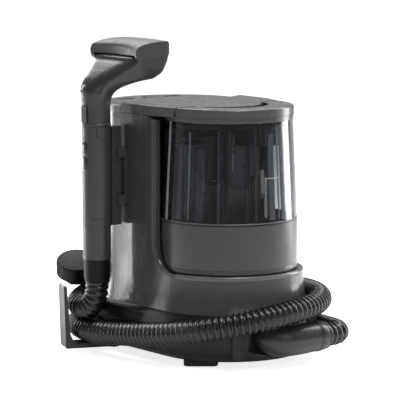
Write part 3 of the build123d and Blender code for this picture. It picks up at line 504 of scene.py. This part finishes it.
# clip beside the float
slab("float_clip_1", 46.5, -80, 236, 52, -72, 238.4, M_CHAMBER_AND_SHEEN, "tank")
slab("float_clip_2", 46.5, -80, 243, 50, -72, 245.4, M_CHAMBER_AND_SHEEN, "tank")
def cone_strip(name, a0, a1, z0, z1, d0, d1, mat, seg=8):
    """A strip that follows the tapered window; angles about the tank axis, depths under its outer face."""
    vs, fs = [], []
    for z in (z0, z1):
        r = 85.5 - 6.3 * (z - 174.0) / 122.0
        for d in (d0, d1):
            for i in range(seg + 1):
                a = math.radians(a0 + (a1 - a0) * i / seg)
                vs.append(m((r - d) * math.cos(a), -57 + (r - d) * math.sin(a), z))
    w = seg + 1
    for i in range(seg):
        for lo, hi, flip in ((0, 1, 0), (2, 3, 0), (0, 2, 1), (1, 3, 1)):
            q = (lo * w + i, lo * w + i + 1, hi * w + i + 1, hi * w + i)
            fs.append(q)
    for i in (0, seg):
        fs.append((i, w + i, 3 * w + i, 2 * w + i))
    ob = new_obj(name, vs, fs)
    bm = bmesh.new()
    bm.from_mesh(ob.data)
    bmesh.ops.recalc_face_normals(bm, faces=bm.faces[:])
    bm.to_mesh(ob.data)
    bm.free()
    soften(ob)
    ob.data.materials.append(mat)
    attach(ob, "tank")
    return ob


# plain level line moulded on the window
cone_strip("level_line", -95, -80, 228.3, 229.2, 0.15, -0.12, M_CREAM)
# float gauge strips behind it
cone_strip("gauge_strip_1", -98, -94.6, 211, 239, 3.2, 4.4, M_CREAM)
cone_strip("gauge_strip_2", -95, -92.4, 181, 206, 3.2, 4.4, M_CREAM)
cone_strip("gauge_slot", -133.5, -120.5, 287.2, 290.4, 2.6, 3.8, M_RUBBER)
cone_strip("gauge_slot_far", -66, -59, 287.2, 290.4, 2.6, 3.8, M_RUBBER)
cone_strip("gauge_rail_1", -131.6, -128.4, 176.5, 286, 3.0, 4.6, M_DARK)
cone_strip("gauge_rail_2", -137.0, -134.6, 176.5, 286, 3.0, 4.6, M_CHAMBER_AND_SHEEN)
cone_strip("gauge_rail_3", -126.0, -124.8, 200, 286, 3.0, 4.6, M_CHAMBER_AND_SHEEN)
# painted reflections: a pale bar along the window's left edge for its bright edge, and bars behind the window (pale
# grey, mid grey and chamber plastic) for the studio streaks reflected in it
cone_strip("window_edge_painted_highlight", -190.4, -186.8, 176.0, 295, 0.35, -0.12, M_PAINTED_STREAK_MID)
for i, (a0, a1, z0, z1, mt) in enumerate((
        (-187, -185.6, 178, 292, M_CHAMBER_AND_SHEEN), (-176, -171, 178, 270, M_CHAMBER_AND_SHEEN), (-164, -162.8, 178, 284, M_PAINTED_STREAK_PALE),
        (-156, -149, 178, 264, M_CHAMBER_AND_SHEEN), (-112, -110.8, 178, 268, M_CHAMBER_AND_SHEEN), (-104, -102, 178, 290, M_CHAMBER_AND_SHEEN),
        (-90, -84, 178, 282, M_PAINTED_STREAK_MID), (-80, -78.6, 178, 292, M_PAINTED_STREAK_PALE), (-76, -71, 176.5, 292, M_PAINTED_STREAK_MID),
        (-67, -64.6, 176.5, 294, M_PAINTED_STREAK_PALE), (-61.6, -57, 176.5, 294, M_PAINTED_STREAK_MID), (-52, -50.6, 176.5, 294, M_PAINTED_STREAK_PALE))):
    cone_strip("window_strip_%d" % (i + 1), a0, a1, z0, z1, 2.7, 3.5, mt)

# ------------------------------------------------------------------ nozzle, lofted along its bent neck
# each station: top-left point, bottom-right point (X, Z), half widths at those two sides, squareness
STATIONS = [
    ((-146.4, 286.3), (-111.6, 286.3), 17.4, 17.4, 2.0), ((-146.4, 296), (-111.6, 297), 17.4, 17.4, 2.0),
    ((-146.6, 306), (-111.5, 309), 17.5, 17.5, 2.0), ((-147.2, 318), (-110.6, 318.5), 17.6, 18.0, 2.1),
    ((-147.6, 328), (-108.4, 325), 18.0, 21.5, 2.25), ((-145.0, 336.0), (-104.6, 330.4), 19.5, 28.0, 2.6),
    ((-138.4, 343.2), (-99.4, 334.2), 23.5, 34.0, 3.1), ((-130.0, 349.6), (-93.0, 337.2), 29.0, 39.5, 3.8),
    ((-121.2, 355.8), (-85.6, 339.6), 35.0, 43.2, 4.6), ((-113.4, 361.2), (-78.6, 341.0), 40.2, 45.6, 5.4),
    ((-107.0, 365.6), (-71.6, 342.4), 44.2, 47.0, 6.4), ((-102.6, 369.6), (-65.4, 346.2), 46.8, 48.0, 7.4),
    ((-93.0, 371.8), (-60.4, 350.4), 48.0, 48.4, 8.4), ((-80.0, 373.4), (-57.2, 356.6), 48.4, 48.5, 9.0),
    ((-66.0, 376.0), (-54.6, 364.6), 48.5, 48.5, 9.0), ((-57.0, 376.6), (-53.9, 371.0), 48.45, 48.45, 9.0)]


def catmull(a, b, c, d, t):
    return 0.5 * (2 * b + (c - a) * t + (2 * a - 5 * b + 4 * c - d) * t * t + (3 * b - a - 3 * c + d) * t ** 3)


def station(u):
    """Outline numbers of the nozzle at u, from 0 at the wand to len - 1 at the mouth."""
    n = len(STATIONS) - 1
    i = min(int(u), n - 1)
    t = u - i
    idx = [max(0, min(n, i + o)) for o in (-1, 0, 1, 2)]
    flat = [(*STATIONS[j][0], *STATIONS[j][1], *STATIONS[j][2:]) for j in idx]
    return [catmull(*(f[q] for f in flat), t) for q in range(7)]


def nozzle_point(u, theta, grow=0.0, dip=0.0):
    """A point of the section at u; theta 0 is the clear side, 90 degrees towards the far end."""
    ax, az, bx, bz, wa, wb, sq = station(u)
    c = Vector(((ax + bx) / 2, (az + bz) / 2))
    e = Vector((ax - bx, az - bz))
    h = e.length / 2
    e.normalize()
    ct, st = math.cos(theta), math.sin(theta)
    x = math.copysign(abs(ct) ** (2 / sq), ct)
    y = math.copysign(abs(st) ** (2 / sq), st)
    depth = (h + grow) * x - (dip * max(0.0, ct) ** 0.6 if ct > 0 else 0.0)
    p = c + e * depth
    wy = wa + (wb - wa) * (1 - x) / 2
    return m(p.x, 40 + (wy + grow) * y, p.y)


def smooth01(t):
    t = max(0.0, min(1.0, t))
    return t * t * (3 - 2 * t)


NU, NT = 84, 72
U0, U1 = 4.15, 10.95          # the clear side starts and ends here
verts, faces = [], []
last_u = len(STATIONS) - 1
for i in range(NU + 1):
    u = last_u * i / NU
    dip = 5.2 * smooth01((u - U0) / 0.5) * smooth01((U1 - u) / 0.35)
    for j in range(NT):
        th = 2 * math.pi * j / NT
        inside = smooth01((math.radians(62) - abs((th + math.pi) % (2 * math.pi) - math.pi)) / math.radians(10))
        verts.append(nozzle_point(u, th, dip=dip * inside))
for i in range(NU):
    for j in range(NT):
        k = (j + 1) % NT
        faces.append((i * NT + j, (i + 1) * NT + j, (i + 1) * NT + k, i * NT + k))
faces.append(tuple(range(NT)))
faces.append(tuple(NU * NT + j for j in range(NT - 1, -1, -1)))
neck = new_obj("nozzle_shell", verts, faces)
neck.data.materials.append(M_GRIP)
soften(neck)
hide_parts("nozzle_body")
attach(neck, "nozzle")


def nozzle_sheet(name, u0, u1, t0, t1, out, inn, mat, nu=56, nt=28, close=None):
    """A curved sheet that lies on the nozzle's clear side, between two angles."""
    vs, fs = [], []
    for layer in (out, inn):
        for i in range(nu + 1):
            u = u0 + (u1 - u0) * i / nu
            for j in range(nt + 1):
                th = math.radians(t0 + (t1 - t0) * j / nt)
                vs.append(nozzle_point(u, th, grow=layer))
    w = nt + 1
    off = (nu + 1) * w
    for i in range(nu):
        for j in range(nt):
            a = i * w + j
            fs.append((a, a + 1, a + w + 1, a + w))
            fs.append((off + a, off + a + w, off + a + w + 1, off + a + 1))
    for i in range(nu):
        a = i * w
        fs.append((a, a + w, off + a + w, off + a))
        b = a + nt
        fs.append((b, off + b, off + b + w, b + w))
    for j in range(nt):
        fs.append((j, off + j, off + j + 1, j + 1))
        a = nu * w + j
        fs.append((a, a + 1, off + a + 1, off + a))
    ob = new_obj(name, vs, fs)
    bm = bmesh.new()
    bm.from_mesh(ob.data)
    bmesh.ops.recalc_face_normals(bm, faces=bm.faces[:])
    bm.to_mesh(ob.data)
    bm.free()
    soften(ob)
    ob.data.materials.append(mat)
    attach(ob, "nozzle")
    return ob


fan_glass = nozzle_sheet("nozzle_clear_cover", U0 + 0.1, U1 + 0.25, -64, 64, 0.35, -1.5, M_COVER)
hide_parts("nozzle_window")
seal_a = nozzle_sheet("nozzle_seal_near", U0, U1, -75, -64.5, 0.5, -1.6, M_RUBBER, nt=8)
seal_b = nozzle_sheet("nozzle_seal_far", U0, U1, 64.5, 75, 0.5, -1.6, M_RUBBER, nt=8)
seal_c = nozzle_sheet("nozzle_seal_foot", U0 - 0.22, U0 + 0.08, -75, 75, 0.5, -1.6, M_RUBBER, nu=6)
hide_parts("nozzle_gasket")
# flow ribs under the clear cover
for q, th in enumerate((-38, -19, 0, 19, 38)):
    nozzle_sheet("flow_rib_%d" % (q + 1), 6.2, U1 - 0.3, th - 0.8, th + 0.8, -1.8, -5.6, M_CHAMBER_AND_SHEEN, nu=30, nt=2)

# ------------------------------------------------------------------ mouth of the nozzle, its top crowned and its front edge bowed
def mouth_section(w):
    q = (w / 48.5) ** 2
    bow, sag = 6.0 * (1 - q), 1.3 * q
    return [(-100.0 + bow, 364.6 + bow * 0.17), (-102.2 + bow, 368.0), (-103.7 + bow, 372.0), (-103.8 + bow, 376.2),
            (-103.2 + bow, 380.0 - sag), (-101.2 + bow * 0.9, 383.2 - sag), (-97.0 + bow * 0.7, 385.6 - sag), (-88.0, 387.9 - sag),
            (-78.0, 389.3 - sag), (-66.0, 390.1 - sag), (-57.0, 390.3 - sag), (-54.8, 389.5 - sag), (-53.8, 387.6 - sag),
            (-53.6, 382.0), (-53.7, 372.5)]


vs, fs = [], []
rows = 28
for i in range(rows + 1):
    w = -48.5 + 97.0 * i / rows
    vs += [m(px, 40 + w, pz) for px, pz in mouth_section(w)]
k = 15
for i in range(rows):
    for j in range(k):
        j2 = (j + 1) % k
        fs.append((i * k + j, (i + 1) * k + j, (i + 1) * k + j2, i * k + j2))
fs.append(tuple(range(k)))
fs.append(tuple(rows * k + j for j in range(k - 1, -1, -1)))
mouth = new_obj("mouth_cap", vs, fs)
slot_xz = [(-110, 365.4), (-110, 371.6), (-98, 372.6), (-50, 384.7), (-50, 376.0)]
cutter = new_obj("mouth_cutter", [m(px, y, pz) for y in (-4.0, 84.0) for px, pz in slot_xz],
                 [(0, 1, 2, 3, 4), (9, 8, 7, 6, 5)] + [(j, 5 + j, 5 + (j + 1) % 5, (j + 1) % 5) for j in range(5)])
for ob in (mouth, cutter):
    bm = bmesh.new()
    bm.from_mesh(ob.data)
    bmesh.ops.recalc_face_normals(bm, faces=bm.faces[:])
    bm.to_mesh(ob.data)
    bm.free()
cut = mouth.modifiers.new("slot", "BOOLEAN")
cut.operation = "DIFFERENCE"
cut.solver = "EXACT"
cut.object = cutter
bpy.context.view_layer.update()
baked = bpy.data.meshes.new_from_object(mouth.evaluated_get(bpy.context.evaluated_depsgraph_get()))
mouth.modifiers.clear()
mouth.data = baked
bpy.data.objects.remove(cutter)
for p in baked.polygons:
    p.use_smooth = True
baked.materials.clear()
baked.materials.append(M_MOUTH)
soften(mouth)
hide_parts("nozzle_mouth")
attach(mouth, "nozzle")

# ring where the nozzle meets the wand
ring("nozzle_foot_ring", -129, 40, 285.9, 289.2, 15.5, 18.1, M_GRIP, "nozzle", seg=64, rnd=0.8)


# ------------------------------------------------------------------ wand seams
def wand_pt(px, z, lift=0.12, r=17.9):
    s = px
    c = math.sqrt(max(0.0, (r + lift) ** 2 - s * s))
    back = Vector((-0.6018, -0.7986))
    right = Vector((0.7986, -0.6018))
    p = right * s + back * c
    return m(-129 + p.x, 40 + p.y, z)


def seam(name, points, radius, mat, body, closed=False):
    """A thin moulded line laid along a surface."""
    cu = bpy.data.curves.new(name, "CURVE")
    cu.dimensions = "3D"
    cu.bevel_depth = radius
    cu.bevel_resolution = 2
    cu.resolution_u = 8
    sp = cu.splines.new("NURBS")
    sp.points.add(len(points) - 1)
    for p, co in zip(sp.points, points):
        p.co = (*co, 1.0)
    sp.order_u = 3
    sp.use_endpoint_u = not closed
    sp.use_cyclic_u = closed
    tmp = bpy.data.objects.new(name + "_line", cu)
    coll.objects.link(tmp)
    bpy.context.view_layer.update()
    me = bpy.data.meshes.new_from_object(tmp)
    bpy.data.objects.remove(tmp)
    for p in me.polygons:
        p.use_smooth = True
    me.materials.clear()
    me.materials.append(mat)
    ob = bpy.data.objects.new(name, me)
    coll.objects.link(ob)
    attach(ob, body)
    return ob


panel = [(0.8, 283), (0.9, 275), (2.0, 271.6), (7.5, 270.6), (12.0, 268.0), (14.6, 262), (15.2, 250), (15.3, 220), (15.3, 190),
         (14.8, 180), (12.2, 175), (7.5, 173.2), (2.0, 172.6), (-4.0, 172.4)]
seam("grip_panel_seam", [wand_pt(a, b) for a, b in panel], 0.00032, M_DARK, "wand")

# ------------------------------------------------------------------ rolled lip of the tank bay
# the lip's lighter grey is a painted highlight along its rolled edge
ring("bay_lip", 0, -57.6, 105.5, 111.9, 85.9, 92.9, M_LIP_PAINTED_HIGHLIGHT, "machine", seg=140, rnd=2.0, a0=-171, a1=-9)
ring("skirt_foot", 0, -57, 112.05, 119, 80.0, 85.62, M_SKIRT, "tank", seg=140, rnd=1.0)
ring("skirt_bead", 0, -57, 172.0, 173.6, 84.6, 85.78, M_DARK, "tank", seg=140, rnd=0.4)
ring("window_foot", 0, -57, 173.7, 175.4, 84.0, 85.72, M_CHAMBER_AND_SHEEN, "tank", seg=140, rnd=0.5)

# rolled border of the tank opening, down each side and round the corner into the lip
for sx in (-1, 1):
    yz = [(-28.0, 296.0 - 147.0 * i / 14, (-1.0, 0.0)) for i in range(15)]
    for i in range(1, 19):
        t = math.radians(-90.0 * i / 18)
        yz.append((-66 + 38 * math.cos(t), 149 + 38 * math.sin(t), (-math.cos(t), -math.sin(t))))
    yz += [(-71.0, 111.0, (0.0, 1.0))]
    vs, fs = [], []
    for y, z, (ny, nz) in yz:
        xi = math.sqrt(86.5 ** 2 - (y + 57) ** 2)
        xo = 92.5 if y > -58 else math.sqrt(92.5 ** 2 - (y + 58) ** 2)
        prof = [(xo, -4.0), (xo, -2.2), (xo - 0.35, -1.0), (xo - 1.2, -0.1), (xo - 2.6, 0.45), (xo - 4.2, 0.6),
                (xi + 1.6, 0.5), (xi + 0.6, 0.1), (xi + 0.1, -0.8), (xi, -2.0), (xi, -4.0)]
        for px, pn in prof:
            vs.append(m(sx * px, y + ny * pn, z + nz * pn))
    k = 11
    for i in range(len(yz) - 1):
        for j in range(k):
            j2 = (j + 1) % k
            fs.append((i * k + j, i * k + j2, (i + 1) * k + j2, (i + 1) * k + j))
    fs.append(tuple(range(k)))
    fs.append(tuple((len(yz) - 1) * k + j for j in range(k - 1, -1, -1)))
    ob = new_obj("bay_border_%s" % ("left" if sx < 0 else "right"), vs, fs)
    bm = bmesh.new()
    bm.from_mesh(ob.data)
    bmesh.ops.recalc_face_normals(bm, faces=bm.faces[:])
    bm.to_mesh(ob.data)
    bm.free()
    soften(ob)
    ob.data.materials.append(M_BODY)
    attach(ob, "machine")


# ------------------------------------------------------------------ knurled grips on two sides of the cord hook's cap
cap_n = Vector((-0.254, -0.3375, 0.9063)).normalized()
cap_u = Vector((-0.7986, 0.6018, 0.0))
cap_u = (cap_u - cap_n * cap_u.dot(cap_n)).normalized()
cap_v = cap_n.cross(cap_u)
cap_0 = Vector((-97.0, 133.0, 105.0)) - cap_n * 19.0
vs, fs = [], []
for side in (0, 180):
    for i in range(-9, 10):
        a = math.radians(side + i * 3.6)
        out = cap_u * math.cos(a) + cap_v * math.sin(a)
        tan = cap_n.cross(out)
        base = len(vs)
        for h in (1.4, 16.6):
            for r, w in ((24.4, 0.55), (25.42, 0.30), (25.42, -0.30), (24.4, -0.55)):
                vs.append(m(*(cap_0 + cap_n * h + out * r + tan * w)))
        for q in ((0, 1, 2, 3), (7, 6, 5, 4), (0, 4, 5, 1), (1, 5, 6, 2), (2, 6, 7, 3), (3, 7, 4, 0)):
            fs.append(tuple(base + k for k in q))
knurl = new_obj("cap_knurl", vs, fs, smooth=False)
bm = bmesh.new()
bm.from_mesh(knurl.data)
bmesh.ops.recalc_face_normals(bm, faces=bm.faces[:])
bm.to_mesh(knurl.data)
bm.free()
knurl.data.materials.append(M_CAP)
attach(knurl, "cord_hook")

# ------------------------------------------------------------------ hose elbow and its tapered collar
def horn(name, pts, mat, body, seg=56):
    """A body of round sections; pts are (x, y, z, radius) along its centre line."""
    c = [m(*p[:3]) for p in pts]
    n = len(c)
    vs, fs = [], []
    side = Vector((0, 0, 1))
    for i in range(n):
        t = (c[min(i + 1, n - 1)] - c[max(i - 1, 0)]).normalized()
        u = (side - t * side.dot(t)).normalized()
        w = t.cross(u)
        for j in range(seg):
            a = 2 * math.pi * j / seg
            vs.append(c[i] + (u * math.cos(a) + w * math.sin(a)) * mm(pts[i][3]))
    for i in range(n - 1):
        for j in range(seg):
            k = (j + 1) % seg
            fs.append((i * seg + j, i * seg + k, (i + 1) * seg + k, (i + 1) * seg + j))
    fs.append(tuple(range(seg - 1, -1, -1)))
    fs.append(tuple((n - 1) * seg + j for j in range(seg)))
    ob = new_obj(name, vs, fs)
    bm = bmesh.new()
    bm.from_mesh(ob.data)
    bmesh.ops.recalc_face_normals(bm, faces=bm.faces[:])
    bm.to_mesh(ob.data)
    bm.free()
    soften(ob)
    ob.data.materials.append(mat)
    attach(ob, body)
    return ob


route = [(-7, -131, 34, 19.3), (-7, -138, 34, 19.4), (-7, -144, 34, 19.5)]
for i in range(1, 12):
    t = math.radians(90 * i / 12)
    route.append((-7 + 22.5 - 22.5 * math.cos(t), -144 - 22.5 * math.sin(t), 34, 19.5 + 0.4 * math.sin(2 * t)))
route += [(x, -166.5, 34, r) for x, r in ((15.5, 19.5), (22, 19.4), (30, 19.1), (38, 18.7), (44, 18.3), (47.4, 18.1))]
elbow = horn("elbow_body", route, M_ELBOW, "machine")
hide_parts("hose_elbow")
collar = horn("elbow_taper", [(47.6, -166.5, 34, 17.6), (47.9, -166.5, 34, 18.3), (49.0, -166.5, 34, 18.7), (53, -166.5, 34, 18.5),
                              (58, -166.5, 34, 17.8), (60.5, -166.5, 34, 17.2), (61.0, -166.5, 34, 16.6), (61.6, -166.5, 34, 16.5),
                              (62.0, -166.5, 34, 17.1), (64.2, -166.5, 34, 16.8), (65.0, -166.5, 34, 16.0)],
              M_ELBOW, "machine")
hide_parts("elbow_collar")

# ------------------------------------------------------------------ floor and light
def area(name, loc, target, size, power, size_y=None, spread=180):
    d = bpy.data.lights.new(name, "AREA")
    d.energy = power
    d.size = size
    if size_y:
        d.shape = "RECTANGLE"
        d.size_y = size_y
    d.spread = math.radians(spread)
    o = bpy.data.objects.new(name, d)
    coll.objects.link(o)
    o.location = loc
    o.rotation_euler = (Vector(target) - Vector(loc)).to_track_quat("-Z", "Y").to_euler()
    return o


floor = new_obj("floor", [(-8, -8, 0), (8, -8, 0), (8, 8, 0), (-8, 8, 0)], [(0, 1, 2, 3)])
kf = Mat("floor_white")
kf.link(kf.ramp(kf.noise(3.0, 4.0, 0.5), (0.93, 0.93, 0.93), (0.96, 0.96, 0.96)), kf.b.inputs["Base Color"])
kf.b.inputs["Roughness"].default_value = 0.7
kf.b.inputs["Emission Color"].default_value = (1, 1, 1, 1)
lp = kf.node("ShaderNodeLightPath")
glow = kf.node("ShaderNodeMapRange")
glow.inputs["To Min"].default_value = 0.16
glow.inputs["To Max"].default_value = 0.80
kf.link(lp.outputs["Is Camera Ray"], glow.inputs["Value"])
kf.link(glow.outputs["Result"], kf.b.inputs["Emission Strength"])
floor.data.materials.append(kf.m)

world = bpy.data.worlds.new("studio")
world.use_nodes = True
wt = world.node_tree
bg = wt.nodes["Background"]
bg.inputs["Color"].default_value = (0.97, 0.985, 1.0, 1)
bg.inputs["Strength"].default_value = 0.30
seen = wt.nodes.new("ShaderNodeBackground")
seen.inputs["Color"].default_value = (1, 1, 1, 1)
seen.inputs["Strength"].default_value = 1.05
path = wt.nodes.new("ShaderNodeLightPath")
mixw = wt.nodes.new("ShaderNodeMixShader")
wt.links.new(path.outputs["Is Camera Ray"], mixw.inputs["Fac"])
wt.links.new(bg.outputs[0], mixw.inputs[1])
wt.links.new(seen.outputs[0], mixw.inputs[2])
wt.links.new(mixw.outputs[0], wt.nodes["World Output"].inputs["Surface"])
scene.world = world

centre = m(0, 0, 180)
TOWARD = Vector((BACK.x, BACK.y, 0)).normalized()
# narrow strip beyond the left shoulder: bright bar down the housing's flank and the edge of the wand
area("strip_flank", centre - RIGHT * 0.572 - TOWARD * 0.112 - Vector((0, 0, 0.07)), centre - RIGHT * 0.09 + TOWARD * 0.03 - Vector((0, 0, 0.03)), 0.026, 0.30, 0.22)
area("strip_left", centre - RIGHT * 1.10 - TOWARD * 0.64 + Vector((0, 0, 0.05)), centre, 0.14, 9, 1.3)
area("strip_far_left", centre - RIGHT * 0.66 - TOWARD * 1.15 + Vector((0, 0, 0.15)), centre, 0.22, 7, 1.4)
# tall strip beyond the right shoulder: bright right edges of tank and base
area("strip_right", centre + RIGHT * 1.2 - TOWARD * 0.62 + Vector((0, 0, 0.3)), centre, 0.50, 21, 1.6)
# soft overhead bank behind the object: tops and rims
area("top_back", centre + Vector((0, 0, 1.15)) - TOWARD * 1.3, centre, 1.6, 17, 0.8)
# high soft box before the object: crests of the hose and the upper side of the elbow
area("top_front", centre + TOWARD * 0.45 + RIGHT * 0.4 + Vector((0, 0, 1.6)), centre, 0.9, 24, 0.5)
# broad soft front fill from upper right
area("front_fill", centre + TOWARD * 1.9 + RIGHT * 0.7 + Vector((0, 0, 1.0)), centre, 1.2, 4, 1.0)
